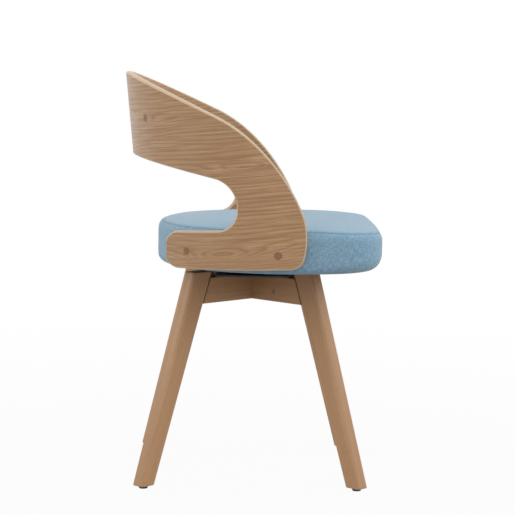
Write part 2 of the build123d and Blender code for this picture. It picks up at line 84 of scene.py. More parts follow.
def add_object(name, data):
    """A new object in the scene."""
    thing = bpy.data.objects.new(name, data)
    scene.collection.objects.link(thing)
    return thing


eye = bpy.data.cameras.new("photo_camera")
eye.sensor_width = sensor_width_mm
eye.lens = lens_px / frame_width_px * sensor_width_mm
camera = add_object("photo_camera", eye)
camera.matrix_world = (
    walk_round
    @ Matrix.Translation((camera_side, -camera_distance, camera_height))
    @ Matrix.Rotation(pi / 2 - camera_pitch, 4, "X")
    @ Matrix.Rotation(camera_roll, 4, "Z")
)
scene.camera = camera
scene.view_settings.view_transform = "Standard"
print("camera: lens", round(eye.lens, 1), "mm")

# %% [markdown]
# ## Small helpers for shader nodes
# Every finish here is a network of shader nodes. Written out by hand each node takes
# four lines, so these helpers place it, set or link its sockets and return its output.

# %% Node helpers
def place(tree, kind, sockets=(), **settings):
    """One node; sockets maps an input's name or number to a value or to an output."""
    made = tree.nodes.new(kind)
    for name, value in settings.items():
        setattr(made, name, value)
    for key, value in dict(sockets).items():
        if isinstance(value, bpy.types.NodeSocket):
            tree.links.new(value, made.inputs[key])
        else:
            made.inputs[key].default_value = value
    return made


def follow(kind, sockets, **settings):
    """One node in the tree of the first output among its sockets' values."""
    sockets = dict(sockets)
    from_nodes = [value for value in sockets.values() if isinstance(value, bpy.types.NodeSocket)]
    return place(from_nodes[0].id_data, kind, sockets, **settings).outputs


def calc(operation, *values):
    """The answer of one Math node."""
    return follow("ShaderNodeMath", enumerate(values), operation=operation)[0]


def times(first, second):
    """Two numbers multiplied."""
    return calc("MULTIPLY", first, second)


def vec(operation, *values, answer=0):
    """An answer of one Vector Math node: 0 is its vector, 1 its single number."""
    return follow("ShaderNodeVectorMath", enumerate(values), operation=operation)[answer]


def parts(vector):
    """The three numbers of a vector."""
    return follow("ShaderNodeSeparateXYZ", {0: vector})[:3]


def turned(vector, angles):
    """The vector turned about the three axes."""
    return follow("ShaderNodeMapping", {"Vector": vector, "Rotation": angles})[0]


def noise(where, grains, detail=2.0, roughness=0.5, distortion=0.0):
    """Cloudy noise round 0.5, with so many grains to the metre, or so many along each axis."""
    if isinstance(grains, tuple):
        where, grains = vec("MULTIPLY", where, grains), 1.0
    return follow("ShaderNodeTexNoise", {"Vector": where, "Scale": grains, "Detail": detail,
                                         "Roughness": roughness, "Distortion": distortion})[0]


def span(value, low, high, to_low=0.0, to_high=1.0, **settings):
    """Value stretched from low..high to to_low..to_high, and clamped there."""
    values = (value, low, high, to_low, to_high)
    return follow("ShaderNodeMapRange", enumerate(values), **settings)[0]


def mix(share, first, second, way="MIX"):
    """Two colours mixed; share 0 gives the first."""
    values = {0: share, 6: first, 7: second}
    return follow("ShaderNodeMix", values, data_type="RGBA", blend_type=way)[2]


def paint(red, green, blue):
    """An 8-bit screen colour as the linear colour that a socket takes."""
    screen = np.array((red, green, blue)) / 255
    linear = np.where(screen <= 0.04045, screen / 12.92, ((screen + 0.055) / 1.055) ** 2.4)
    return (*map(float, linear), 1.0)


def ramp(value, stops):
    """A colour ramp; every stop is a position, red, green and blue."""
    colour_out = follow("ShaderNodeValToRGB", {0: value})[0]
    line = colour_out.node.color_ramp.elements
    while len(line) < len(stops):
        line.new(0.5)
    for stop, (position, *colour) in zip(line, stops):
        stop.position = position
        stop.color = paint(*colour)
    return colour_out


def bump(height, strength, distance):
    """A surface normal from a height in 0..1, where 1 stands distance proud."""
    values = {"Strength": strength, "Distance": distance, "Height": height}
    return follow("ShaderNodeBump", values)[0]


def give(sockets, **answers):
    """Links each answer to the socket of that name: a group's outputs or a shader's inputs."""
    for name, answer in answers.items():
        answer.id_data.links.new(answer, sockets[name.replace("_", " ")])


def own_place(tree):
    """The shaded point in the object's own coordinates, which are the chair's."""
    return place(tree, "ShaderNodeTexCoord").outputs["Object"]

# %% [markdown]
# A node group is a function of the shader editor: named sockets go in and others come
# out. What several finishes share is written once as a group, and each finish then has
# one Principled shader that the group's answers feed.

# %% Groups and finishes
def new_group(name, inputs, outputs):
    """An empty node group; returns the tree, the outputs of its inputs and a way out.

    inputs are (name, kind) or (name, kind, start), outputs are names of numbers."""
    tree = bpy.data.node_groups.new(name, "ShaderNodeTree")
    for label, kind, *start in inputs:
        socket = tree.interface.new_socket(label, in_out="INPUT", socket_type="NodeSocket" + kind)
        if start:
            socket.default_value = start[0]
    for label in outputs:
        tree.interface.new_socket(label, in_out="OUTPUT", socket_type="NodeSocketFloat")
    return tree, tree.nodes.new("NodeGroupInput").outputs, tree.nodes.new("NodeGroupOutput").inputs


def use(group, **sockets):
    """Places a node group in the tree of what goes into it, and returns its outputs."""
    named = {name.replace("_", " "): value for name, value in sockets.items()}
    return follow("ShaderNodeGroup", named, node_tree=group)


def new_finish(name, **principled):
    """A material with one Principled shader, its plain values set on its own sockets."""
    material = bpy.data.materials.new(name)
    material.use_nodes = True
    shader = material.node_tree.nodes["Principled BSDF"]
    for key, value in principled.items():
        shader.inputs[key.replace("_", " ")].default_value = value
    return material, material.node_tree, shader.inputs


print("helpers are ready")

# %% [markdown]
# ## Studio
# The chair stands in a white cove with light from all sides: a softbox overhead, white
# walls before and behind the chair, and a bright window behind its back. Each could be
# a lamp of its own, but large soft lights are cheaper as one world whose strength
# depends on the direction. It is strongest at middle heights and dim near the floor, so
# the rails under the seat stay dark. What the camera and mirrors see of it is plain white.

# %% World light
world = bpy.data.worlds.new("white_cove")
scene.world = world
world.use_nodes = True
sky = world.node_tree
sky.nodes.clear()
forward, left, upward = parts(place(sky, "ShaderNodeTexCoord").outputs["Generated"])


def facing(amount, sign, power=1.0):
    """A number that grows from 0 to 1 as the direction's amount goes from 0 to sign."""
    return calc("POWER", calc("MAXIMUM", times(amount, sign), 0.0), power)


even_glow, wall_glow, window_glow = 1.0, 0.90, 2.3
front_glow, low_front_glow, camera_side_glow = 1.10, 0.35, 0.35
glow = times(times(forward, forward), wall_glow)
glow = calc("MULTIPLY_ADD", facing(forward, -1.0, 4.0), window_glow, glow)
glow = calc("MULTIPLY_ADD", facing(left, -1.0), camera_side_glow, glow)
glow = calc("MULTIPLY_ADD", facing(forward, 1.0), front_glow, glow)
glow = calc("ADD", glow, even_glow)
glow = times(glow, span(upward, 0.10, 0.45, 0.47, 1.0))  # dimmer near the floor
glow = times(glow, span(upward, 0.45, 1.0, 1.0, 0.26))  # and overhead
glow = calc("MULTIPLY_ADD", facing(forward, 1.0), low_front_glow, glow)
paths = place(sky, "ShaderNodeLightPath").outputs
seen = calc("MAXIMUM", paths["Is Camera Ray"],
            calc("MAXIMUM", paths["Is Glossy Ray"], paths["Is Transmission Ray"]))
lamp = follow("ShaderNodeBackground", {"Color": paint(255, 253, 250), "Strength": glow})[0]
white = place(sky, "ShaderNodeBackground", {"Color": (1, 1, 1, 1), "Strength": 1.0}).outputs[0]
both = follow("ShaderNodeMixShader", {0: seen, 1: lamp, 2: white})[0]
place(sky, "ShaderNodeOutputWorld", {0: both})
print("world:", len(sky.nodes), "nodes")

# %% [markdown]
# The world alone gives hardly any shadow, and a sun would give a hard one. So a large
# square lamp hangs over the chair, like the softbox of a studio.

# %% Overhead softbox
softbox_size = 1.6
softbox_place = (0.1, -0.5, 2.3)
softbox_tilt = radians(-12)
softbox_power = 9.0
box = bpy.data.lights.new("overhead_softbox", "AREA")
box.shape = "SQUARE"
box.size = softbox_size
box.energy = softbox_power
softbox = add_object("overhead_softbox", box)
softbox.location = softbox_place
softbox.rotation_euler = (softbox_tilt, 0, 0)
print("softbox:", softbox_size, "m wide,", softbox_power, "W")

# %% [markdown]
# The floor of the cove is pale. It keeps a soft shadow under the chair and fades into
# the white before its edge, so no horizon shows. A curved backdrop would do that too,
# but one flat square with a material that turns from painted to glowing is simpler.

# %% Pale floor
floor_half = 40.0
fade_start, fade_end = 0.5, 2.2  # metres from the swivel axis
floor_mesh = bpy.data.meshes.new("studio_floor")
corners = [(x * floor_half, y * floor_half, 0) for x, y in ((-1, -1), (1, -1), (1, 1), (-1, 1))]
floor_mesh.from_pydata(corners, [], [(0, 1, 2, 3)])
floor = add_object("studio_floor", floor_mesh)
floor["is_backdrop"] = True

material, tree, _ = new_finish("pale_floor", Base_Color=paint(168, 165, 161), Roughness=0.9,
                               Specular_IOR_Level=0.1)
fade = span(vec("LENGTH", own_place(tree), answer=1), fade_start, fade_end, 0.95, 1.0)
paths = place(tree, "ShaderNodeLightPath").outputs
seen = calc("MAXIMUM", paths["Is Camera Ray"], paths["Is Glossy Ray"])
glow = place(tree, "ShaderNodeEmission", {0: (1, 1, 1, 1), 1: 1.0}).outputs[0]
shader = tree.nodes["Principled BSDF"].outputs[0]
both = follow("ShaderNodeMixShader", {0: times(fade, seen), 1: shader, 2: glow})[0]
tree.links.new(both, tree.nodes["Material Output"].inputs[0])
floor_mesh.materials.append(material)
print("floor:", 2 * floor_half, "m wide")

# %% [markdown]
# ## Oak veneer on the bent shell
# The shell is pressed from thin sheets over a round mould that leans back. Its two
# faces are oak veneer with the grain running round the bend, and every cut edge shows
# the pale sheets as stripes. The shell could be unwrapped and painted, but all of that
# follows from three numbers at each point: how far along the bend it is, how high, and
# how deep in the wall. One node group works these out from the point's place.

# %% Where a point lies in the bend
shell_radius = 0.259
shell_thickness = 0.012
shell_lean = radians(5.66)
bend_x, bend_z = 0.0525, 0.420

bend_place, point, out = new_group(
    "bend_place", [("Position", "Vector")], ["Along", "Height", "Depth"])
x, y, z = parts(point["Position"])
dx, dz = calc("SUBTRACT", x, bend_x), calc("SUBTRACT", z, bend_z)
ahead = calc("MULTIPLY_ADD", dx, cos(shell_lean), times(dz, sin(shell_lean)))
up = calc("SUBTRACT", times(dz, cos(shell_lean)), times(dx, sin(shell_lean)))
behind = calc("MAXIMUM", times(ahead, -1.0), 0.0)
turn = calc("ARCTAN2", calc("ABSOLUTE", y), behind)
run = calc("MULTIPLY_ADD", turn, shell_radius, calc("MAXIMUM", ahead, 0.0))
radius = calc("SQRT", calc("MULTIPLY_ADD", behind, behind, times(y, y)))
give(out, Along=times(run, calc("SIGN", y)), Height=up,
     Depth=calc("SUBTRACT", shell_radius, radius))
print("bend group:", len(bend_place.nodes), "nodes")

# %% [markdown]
# Sliced oak shows its growth rings as fine lines that run along the sheet, slightly
# wavy, and as long flames where the knife ran along a heart. All of them are the contour
# lines of one field: the height on the sheet, plus a few waves, plus a low long hill at
# each flame. A line is dark where spring wood begins, then pales; short dark pores lie
# along it. Blender's Wave texture draws lines too, but they can't close round a heart.

# %% Oak figure
flames = (  # place along the bend and up it, half length, half height, rise
    (-0.352, 0.170, 0.062, 0.0090, 0.0330),
    (-0.300, 0.018, 0.080, 0.0130, 0.0450),
    (-0.120, 0.262, 0.070, 0.0080, 0.0230),
    (0.060, 0.215, 0.080, 0.0100, 0.0340),
    (0.330, 0.120, 0.060, 0.0090, 0.0290),
    (0.400, 0.035, 0.055, 0.0110, 0.0370),
)
waves = (  # how often in a metre along and up, and how high
    ((2.4, 7.0, 1.0), 0.018),
    ((9.0, 34.0, 1.0), 0.0065),
    ((16.0, 190.0, 1.0), 0.0042),
)
veneer_ring_width = 0.0070

oak_figure, point, out = new_group(
    "oak_figure",
    [("Along", "Float"), ("Height", "Float"), ("Ring Width", "Float", veneer_ring_width)],
    ["Ring", "Pores", "Cloud", "Streaks"])
leaf = follow("ShaderNodeCombineXYZ", {0: point["Along"], 1: point["Height"]})[0]
field = point["Height"]
for stretch, size in waves:
    field = calc("MULTIPLY_ADD", noise(leaf, stretch, 1.0), size, field)
for along, height, half_length, half_height, rise in flames:
    off = vec("SUBTRACT", leaf, (along, height, 0.0))
    off = vec("MULTIPLY", off, (1 / half_length, 1 / half_height, 0.0))
    hill = calc("DIVIDE", rise, calc("ADD", vec("DOT_PRODUCT", off, off, answer=1), 1.0))
    field = calc("ADD", field, hill)
ring = calc("FRACT", calc("DIVIDE", field, point["Ring Width"]))
dashes = noise(leaf, (90.0, 1500.0, 1.0), 2.0)
spring_wood = span(ring, 0.0, 0.45, 1.0, 0.25)
give(out, Ring=ring, Pores=times(span(dashes, 0.56, 0.66), spring_wood),
     Cloud=noise(leaf, (5.0, 48.0, 1.0), 3.0, 0.6),
     Streaks=noise(leaf, (9.0, 300.0, 1.0), 3.0, 0.62))
print("oak group:", len(oak_figure.nodes), "nodes")

# %% [markdown]
# The shell's finish mixes two woods: the veneer wherever a face is nearer than a hair,
# and the plies everywhere else. Two materials on separate faces would need the edge's
# faces to be found first; the depth finds them by itself, also on the rounded rims.

# %% Shell finish: veneer on the faces, plies on the edges
ply_pitch = 0.00135
face_veneer = 0.0002  # how deep the face's wood reaches
veneer_tones = [(0.0, 151, 112, 73), (0.12, 156, 118, 78), (0.38, 167, 132, 95),
                (0.72, 173, 140, 104), (0.90, 166, 130, 93), (1.0, 152, 113, 74)]
ply_tones = [(0.0, 154, 125, 95), (0.05, 190, 167, 139), (0.48, 187, 164, 135),
             (0.52, 157, 128, 98), (0.58, 180, 156, 126), (1.0, 177, 152, 122)]
cloud_tint, pore_tone = paint(238, 230, 221), paint(112, 80, 54)
dark_streak, light_streak = paint(139, 100, 62), paint(184, 152, 117)
ply_streak = paint(160, 135, 106)

oak, tree, surface = new_finish("oak_veneer", Roughness=0.48, Coat_Weight=0.38, Coat_Roughness=0.30)
bend = use(bend_place, Position=own_place(tree))
figure = use(oak_figure, Along=bend["Along"], Height=bend["Height"])
wood = ramp(figure["Ring"], veneer_tones)
wood = mix(span(figure["Cloud"], 0.3, 0.7), mix(1.0, wood, cloud_tint, "MULTIPLY"), wood)
wood = mix(span(figure["Streaks"], 0.44, 0.68, 0.0, 0.75), wood, dark_streak)
wood = mix(span(figure["Streaks"], 0.28, 0.44, 0.55, 0.0), wood, light_streak)
wood = mix(times(figure["Pores"], 0.55), wood, pore_tone)
to_face = calc("MINIMUM", calc("ABSOLUTE", bend["Depth"]),
               calc("ABSOLUTE", calc("SUBTRACT", shell_thickness, bend["Depth"])))
is_edge = span(to_face, 0.5 * face_veneer, 1.5 * face_veneer)
layer = calc("FLOORED_MODULO", calc("DIVIDE", bend["Depth"], ply_pitch), 2.0)
plies = ramp(times(layer, 0.5), ply_tones)
streaks = noise(own_place(tree), 60.0, 3.0)
plies = mix(span(streaks, 0.35, 0.7, 0.0, 0.35), plies, ply_streak)
relief = calc("SUBTRACT", times(figure["Ring"], 0.15), figure["Pores"])
give(surface, Base_Color=mix(is_edge, wood, plies), Normal=bump(relief, 0.25, 0.0002),
     Roughness=span(figure["Pores"], 0.0, 1.0, 0.46, 0.7))
print("oak finish:", len(tree.nodes), "nodes")

# %% [markdown]
# ## Solid beech for the legs and rails
# Beech is plain and fine: faint lines along the grain, and a scatter of short
# brown flecks, which are its rays. Each leg is turned its own way. Unwrapping every leg
# would do, but it is easier to turn the point until the leg is upright and to let one
# group draw the grain of all of them.

# %% Beech grain
beech_grain, point, out = new_group(
    "beech_grain", [("Place", "Vector")], ["Lines", "Flecks", "Cloud"])
lines = noise(point["Place"], (170.0, 170.0, 4.0), 3.0, 0.55, 0.4)
flecks = noise(point["Place"], (900.0, 900.0, 130.0), 1.0)
cloud = noise(point["Place"], (22.0, 22.0, 3.0), 2.0)
give(out, Lines=lines, Flecks=span(flecks, 0.60, 0.72), Cloud=cloud)
beech_tones = [(0.25, 157, 118, 80), (0.5, 165, 126, 89), (0.75, 173, 135, 99)]
beech_cloud, fleck_tone = paint(158, 119, 83), paint(126, 88, 58)
knot_stain, knot_core = paint(104, 68, 42), paint(34, 20, 12)


def beech_finish(name, heading, tilt, knot=None):
    """Beech whose grain runs along a piece that heads and tilts so, in radians.

    knot is the place of a tiny knot with a brown ring of stained wood, if there is one."""
    material, tree, surface = new_finish(name, Roughness=0.45, Coat_Weight=0.08, Coat_Roughness=0.4)
    spot = own_place(tree)
    grain = use(beech_grain, Place=turned(turned(spot, (0, 0, -heading)), (0, tilt, 0)))
    wood = ramp(grain["Lines"], beech_tones)
    wood = mix(span(grain["Cloud"], 0.35, 0.7, 0.0, 0.5), wood, beech_cloud)
    wood = mix(times(grain["Flecks"], 0.4), wood, fleck_tone)
    if knot:
        away = vec("DISTANCE", spot, knot, answer=1)
        wood = mix(span(away, 0.0015, 0.0070, 0.55, 0.0), wood, knot_stain)
        wood = mix(span(away, 0.0010, 0.0019, 1.0, 0.0), wood, knot_core)
    give(surface, Base_Color=wood, Normal=bump(grain["Flecks"], 0.15, 0.0001))
    return material


leg_headings = {"front_left": 45, "rear_left": 135, "rear_right": 225, "front_right": 315}
leg_foot_reach, leg_top_reach = 0.272, 0.140
leg_foot_height, leg_top_height = 0.005, 0.384
leg_tilt = atan2(leg_foot_reach - leg_top_reach, leg_top_height - leg_foot_height)
beech = {f"leg_{name}": beech_finish(f"beech_{name}", radians(angle), leg_tilt)
         for name, angle in leg_headings.items()}
beech["rail_upper"] = beech_finish("beech_rail_upper", radians(45), pi / 2)
rail_half_breadth = 0.013
knot_along, knot_height = 0.069, 0.3435  # the knot on the right rail's front face
diagonal = sqrt(0.5)
knot = ((knot_along - rail_half_breadth) * diagonal,
        -(knot_along + rail_half_breadth) * diagonal, knot_height)
beech["rail_lower"] = beech_finish("beech_rail_lower", radians(135), pi / 2, knot)
print("beech finishes:", len(beech))

# %% [markdown]
# ## Small hard pieces
# Black powder coat on the swivel plates has a fine orange-peel skin, screws are
# zinc plated, glides are moulded nylon, and boards are plain wood. They differ only in
# colour, metal and roughness. Eight materials could be written out one by one, but one
# function makes them all, with a shared group for smudges and skin.

# %% Fine skin shared by metals and plastics
fine_skin, point, out = new_group(
    "fine_skin", [("Position", "Vector"), ("Grain", "Float")], ["Skin", "Smudge"])
give(out, Skin=noise(point["Position"], point["Grain"], 2.0),
     Smudge=noise(point["Position"], 45.0, 3.0, 0.6))


def hard_finish(name, light, dark, metal, rough, grain, relief):
    """A metal, plastic or board finish: two screen colours, smudges and a fine skin."""
    material, tree, surface = new_finish(name, Metallic=metal)
    skin = use(fine_skin, Position=own_place(tree), Grain=grain)
    give(surface, Base_Color=mix(span(skin["Smudge"], 0.3, 0.7), paint(*light), paint(*dark)),
         Roughness=span(skin["Smudge"], 0.25, 0.75, rough - 0.06, rough + 0.08),
         Normal=bump(skin["Skin"], 0.3, relief))
    return material


black_steel = hard_finish("black_powder_coat", (26, 26, 28), (20, 20, 21), 0.0, 0.42, 700.0, 0.0002)
zinc = hard_finish("zinc_plate", (196, 196, 192), (178, 180, 180), 1.0, 0.32, 1200.0, 0.00003)
bearing = hard_finish("bearing_steel", (205, 205, 206), (190, 190, 192), 1.0, 0.18, 1500.0, 0.00001)
brass = hard_finish("brass", (190, 152, 82), (170, 132, 66), 1.0, 0.3, 1200.0, 0.00003)
nylon = hard_finish("black_nylon", (30, 30, 31), (24, 24, 25), 0.0, 0.5, 1500.0, 0.00005)
black_lining = hard_finish("black_lining", (40, 40, 42), (27, 27, 29), 0.0, 0.88, 2200.0, 0.0003)
board_ply = hard_finish("birch_board", (200, 172, 134), (186, 156, 118), 0.0, 0.6, 300.0, 0.0001)
frame_wood = hard_finish("pine_frame", (206, 174, 128), (190, 154, 108), 0.0, 0.6, 200.0, 0.0001)
print("hard finishes:", fine_skin.users)

# %% [markdown]
# The plugs over the screws are turned from darker oak and sanded flush. They could take
# the veneer's finish, but then they would vanish in it. The same two groups, with
# narrower rings and darker tones, give them a grain of their own.

# %% Oak plugs
plug_ring_width = 0.0026
plug_tones = [(0.0, 114, 80, 53), (0.4, 134, 98, 68), (1.0, 122, 87, 59)]
plug_oak, tree, surface = new_finish("oak_plug", Roughness=0.5)
bend = use(bend_place, Position=own_place(tree))
figure = use(oak_figure, Along=bend["Along"], Height=bend["Height"], Ring_Width=plug_ring_width)
wood = ramp(figure["Ring"], plug_tones)
wood = mix(times(figure["Pores"], 0.6), wood, paint(88, 60, 42))
give(surface, Base_Color=wood, Normal=bump(figure["Pores"], -0.3, 0.0002))
print("plug finish:", len(tree.nodes), "nodes")

# %% [markdown]
# Now every hard piece of the frame gets its finish. A table with the pieces of each
# finish is easier to check than a loop that guesses from names, and what is left over
# is the list of soft pieces still to make.

# %% Finishes on the frame's own pieces
finish_of = dict(beech)
for material, names in (
    (oak, "back_shell"), (plug_oak, "wing_plugs back_plugs"),
    (black_steel, "swivel_base_plate swivel_top_plate base_plate_bolts top_plate_bolts"),
    (zinc, "pivot_rivet pivot_washer ball_cage seat_tee_nuts wing_screws back_screws glide_nails"),
    (bearing, "bearing_balls"), (brass, "rail_inserts"), (beech["rail_upper"], "leg_dowels"),
    (board_ply, "seat_board back_pad_board"), (frame_wood, "seat_frame"),
    (nylon, " ".join("glide_" + name for name in leg_headings)),
):
    finish_of.update(dict.fromkeys(names.split(), material))
for name, material in finish_of.items():
    for slot in nodes[name].material_slots:
        slot.material = material
print("finished", len(finish_of), "of", len(nodes), "nodes; left for cloth:",
      sorted(set(nodes) - set(finish_of)))

# %% [markdown]
# ## The cushion's plan
# Upholstery starts from a paper pattern. The cushion's pattern has a slightly bowed
# front, soft front corners, straight sides between the wings and a rounded back
# that follows them. A spline through chosen points would be quicker, but it bulges
# between them. It is drawn as arcs that touch each other, and every arc's centre comes
# from its neighbours, so the line has no kinks and each size can be changed alone.

# %% Pattern of the cushion
cushion_half_width = 0.2464
cushion_front = 0.2350
front_bow = 0.007
front_corner = 0.082
rear_corner = 0.060
rear_edge = -0.1775
wing_arc_end = radians(50.1)
wing_centre = 0.0548


def arc(centre, radius, start, end, count=60):
    """Points of a circular arc: centre plus radius times (cosine, sine)."""
    angle = np.linspace(start, end, count)
    return np.stack((centre[0] + radius * np.cos(angle), centre[1] + radius * np.sin(angle)), 1)


def even_loop(points, step):
    """The closed line through points, walked in equal steps of about that length."""
    ring = np.vstack((points, points[:1]))
    walked = np.concatenate(([0], np.cumsum(np.linalg.norm(np.diff(ring, axis=0), axis=1))))
    at = np.linspace(0, walked[-1], int(walked[-1] / step), endpoint=False)
    return np.stack([np.interp(at, walked, ring[:, axis]) for axis in range(2)], 1)


def cushion_pattern(step):
    """Front bow, front corner, side, wing arc, rear corner, rear arc; then the mirror image.

    A corner of radius c between two curves is centred where the curves, moved
    inwards by c, cross each other."""
    half, bow = cushion_half_width, front_bow
    front_radius = (half**2 + bow**2) / (2 * bow)
    front_centre = cushion_front - front_radius
    corner_y = half - front_corner
    corner_x = front_centre + sqrt((front_radius - front_corner)**2 - corner_y**2)
    front_end = atan2(corner_y, corner_x - front_centre)
    wing_x = wing_centre - half * sin(wing_arc_end)
    wing_y = half * cos(wing_arc_end)
    rear_centre = (wing_x**2 + wing_y**2 - rear_edge**2) / (2 * (wing_x - rear_edge))
    rear_radius = rear_centre - rear_edge
    inner_wing, inner_rear = half - rear_corner, rear_radius - rear_corner
    turn_x = inner_wing**2 - inner_rear**2 + rear_centre**2 - wing_centre**2
    turn_x /= 2 * (rear_centre - wing_centre)
    turn_y = sqrt(inner_wing**2 - (turn_x - wing_centre)**2)
    wing_end = atan2(turn_y, turn_x - wing_centre)
    rear_start = atan2(turn_y, turn_x - rear_centre)
    right_half = np.vstack((
        arc((front_centre, 0), front_radius, 0, front_end),
        arc((corner_x, corner_y), front_corner, front_end, pi / 2),
        arc((wing_centre, 0), half, pi / 2, wing_end),
        arc((turn_x, turn_y), rear_corner, wing_end, rear_start),
        arc((rear_centre, 0), rear_radius, rear_start, pi)))
    return even_loop(np.vstack((right_half, right_half[-2:0:-1] * (1, -1))), step)


pattern = cushion_pattern(0.005)
print("cushion pattern:", len(pattern), "points,", np.ptp(pattern, axis=0).round(3), "m")

# %% [markdown]
# ## Pillow shapes
# The cushion and the back pad are both closed pillows over a pattern: a flat
# bottom, a rounded lower edge, a wall, a rounded upper edge and a crowned top.
# A cube could be subdivided and pushed into that form, but its corners would never
# follow the pattern. Each level is the pattern drawn in by some distance along its own
# normals; one function lists the levels and another joins them to a skin.

# %% Pillow over a pattern
edge_points = 7  # on a rounded edge
cap_hole = 0.02  # share of a cap that is left to the fan in its middle


def drawn_in(loop, inset):
    """The loop moved inwards by inset along its normals; the loop runs anticlockwise."""
    along = np.roll(loop, -1, axis=0) - np.roll(loop, 1, axis=0)
    inward = np.stack((-along[:, 1], along[:, 0]), 1)
    inward /= np.linalg.norm(inward, axis=1, keepdims=True)
    return loop + np.broadcast_to(inset, len(loop))[:, None] * inward


def pillow(loop, low, high, low_round, high_round, step=0.005):
    """Levels of a pillow, as an array of levels by points by 3.

    low and high give the bottom and the top over a flat point.  Edges are quarter
    circles, walls are straight, and the caps shrink the last level to the middle.
    low_round is one radius, or one for each point of the loop."""
    low_round = np.broadcast_to(low_round, len(loop))
    middle = loop.mean(axis=0)
    quarter = np.linspace(0, pi / 2, edge_points)
    reach = np.linalg.norm(loop - middle, axis=1).min()
    shrink = np.linspace(1, cap_hole, int(reach / step))
    levels = []

    def level(flat, height):
        levels.append(np.column_stack((flat, np.broadcast_to(height, len(flat)))))

    for share in shrink[::-1]:
        flat = middle + share * (drawn_in(loop, low_round) - middle)
        level(flat, low(flat))
    for angle in quarter[1:]:
        flat = drawn_in(loop, low_round * (1 - sin(angle)))
        level(flat, low(flat) + low_round * (1 - cos(angle)))
    wall_low, wall_high = low(loop) + low_round, high(loop) - high_round
    rows = max(3, int(np.mean(wall_high - wall_low) / step))
    for share in np.linspace(0, 1, rows)[1:]:
        level(loop, wall_low + share * (wall_high - wall_low))
    for angle in quarter[1:]:
        flat = drawn_in(loop, high_round * (1 - cos(angle)))
        level(flat, high(flat) - high_round * (1 - sin(angle)))
    for share in shrink[1:]:
        flat = middle + share * (drawn_in(loop, high_round) - middle)
        level(flat, high(flat))
    return np.array(levels)


def skin_through(name, levels, closed=True):
    """A mesh through the levels; a fan fills the first and, if closed, the last one too."""
    rows, count = levels.shape[:2]
    first, last = rows * count, rows * count + 1
    points = np.vstack((levels.reshape(-1, 3), levels[0].mean(axis=0), levels[-1].mean(axis=0)))
    row, column = np.meshgrid(np.arange(rows - 1), np.arange(count), indexing="ij")
    here, right = row * count + column, row * count + (column + 1) % count
    quads = np.stack((here, right, right + count, here + count), -1).reshape(-1, 4)
    turn = np.arange(count)
    after = (turn + 1) % count
    fans = np.stack((np.full(count, first), after, turn), -1)
    if closed:
        row = (rows - 1) * count
        fans = np.vstack((fans, np.stack((np.full(count, last), row + turn, row + after), -1)))
    mesh = bpy.data.meshes.new(name)
    mesh.from_pydata(points[:None if closed else -1].tolist(), [], quads.tolist() + fans.tolist())
    mesh.update()
    return mesh


def put_in_scene(name, mesh, material):
    """A smooth object at the origin with that mesh and material."""
    thing = add_object(name, mesh)
    mesh.materials.append(material)
    mesh.polygons.foreach_set("use_smooth", np.full(len(mesh.polygons), True))
    return thing


print("pillows are ready")

# %% [markdown]
# ## Filling by simulation
# Stuffing pushes the cloth outwards until the seams hold it. A bulge could be added by
# formula, but it would be too even. Blender's Cloth swells the skin with an inner
# pressure, as stuffing does. The pillow starts slightly small, gets an even net of small
# squares, swells for twenty frames with its seams and its underside pinned, and no point
# may travel further than the foam would let it. A light smoothing then calms the net's
# small steps.

# %% Swelling under pressure
swell_frames = 20
cloth_quality, cloth_stiffness, cloth_bending = 6, 25, 9
calm_share, calm_passes = 0.5, 5


def read(items, name, width=3, kind=float):
    """The named value of every item, as an array with width numbers in a row."""
    flat = np.empty(len(items) * width, dtype=kind)
    items.foreach_get(name, flat)
    return flat.reshape(-1, width)


def points_of(mesh):
    """The mesh's points as an array."""
    return read(mesh.vertices, "co")


def evaluated(thing):
    """A copy of the mesh with the object's modifiers applied."""
    graph = bpy.context.evaluated_depsgraph_get()
    return bpy.data.meshes.new_from_object(thing.evaluated_get(graph))


def swollen(name, mesh, voxel, pressure, cap, held):
    """The mesh remeshed, swollen and subdivided once.

    held takes points and gives how firmly each is pinned, 0 to 1; cap is the
    furthest that a point may move."""
    thing = add_object(name + "_working", mesh)
    net = thing.modifiers.new("net", "REMESH")
    net.mode, net.voxel_size = "VOXEL", voxel
    even = evaluated(thing)
    thing.modifiers.clear()
    thing.data = even
    start = points_of(even)
    group = thing.vertex_groups.new(name="held")
    firmness = held(start)
    for share in np.unique(firmness.round(1)):
        chosen = np.flatnonzero(firmness.round(1) == share)
        group.add(chosen.tolist(), float(share), "REPLACE")
    cloth = thing.modifiers.new("cloth", "CLOTH")
    cloth.settings.quality = cloth_quality
    cloth.settings.use_pressure = True
    cloth.settings.uniform_pressure_force = pressure
    cloth.settings.effector_weights.gravity = 0
    cloth.settings.vertex_group_mass = "held"
    cloth.settings.tension_stiffness = cloth.settings.compression_stiffness = cloth_stiffness
    cloth.settings.bending_stiffness = cloth_bending
    for number in range(1, swell_frames + 1):
        scene.frame_set(number)
    moved = points_of(evaluated(thing)) - start
    thing.modifiers.clear()
    length = np.linalg.norm(moved, axis=1, keepdims=True)
    moved *= np.minimum(1, cap / np.maximum(length, 1e-9))
    even.vertices.foreach_set("co", (start + moved).ravel())
    even.update()
    way = 1000 * np.linalg.norm(moved, axis=1).mean()
    print(name, "swelled by", way.round(2), "mm on average")
    calm = thing.modifiers.new("calm", "SMOOTH")
    calm.factor, calm.iterations = calm_share, calm_passes
    fine = thing.modifiers.new("fine", "SUBSURF")
    fine.levels = fine.render_levels = 1
    done = evaluated(thing)
    bpy.data.objects.remove(thing)
    done.name = name
    return done


print("swelling:", swell_frames, "frames")

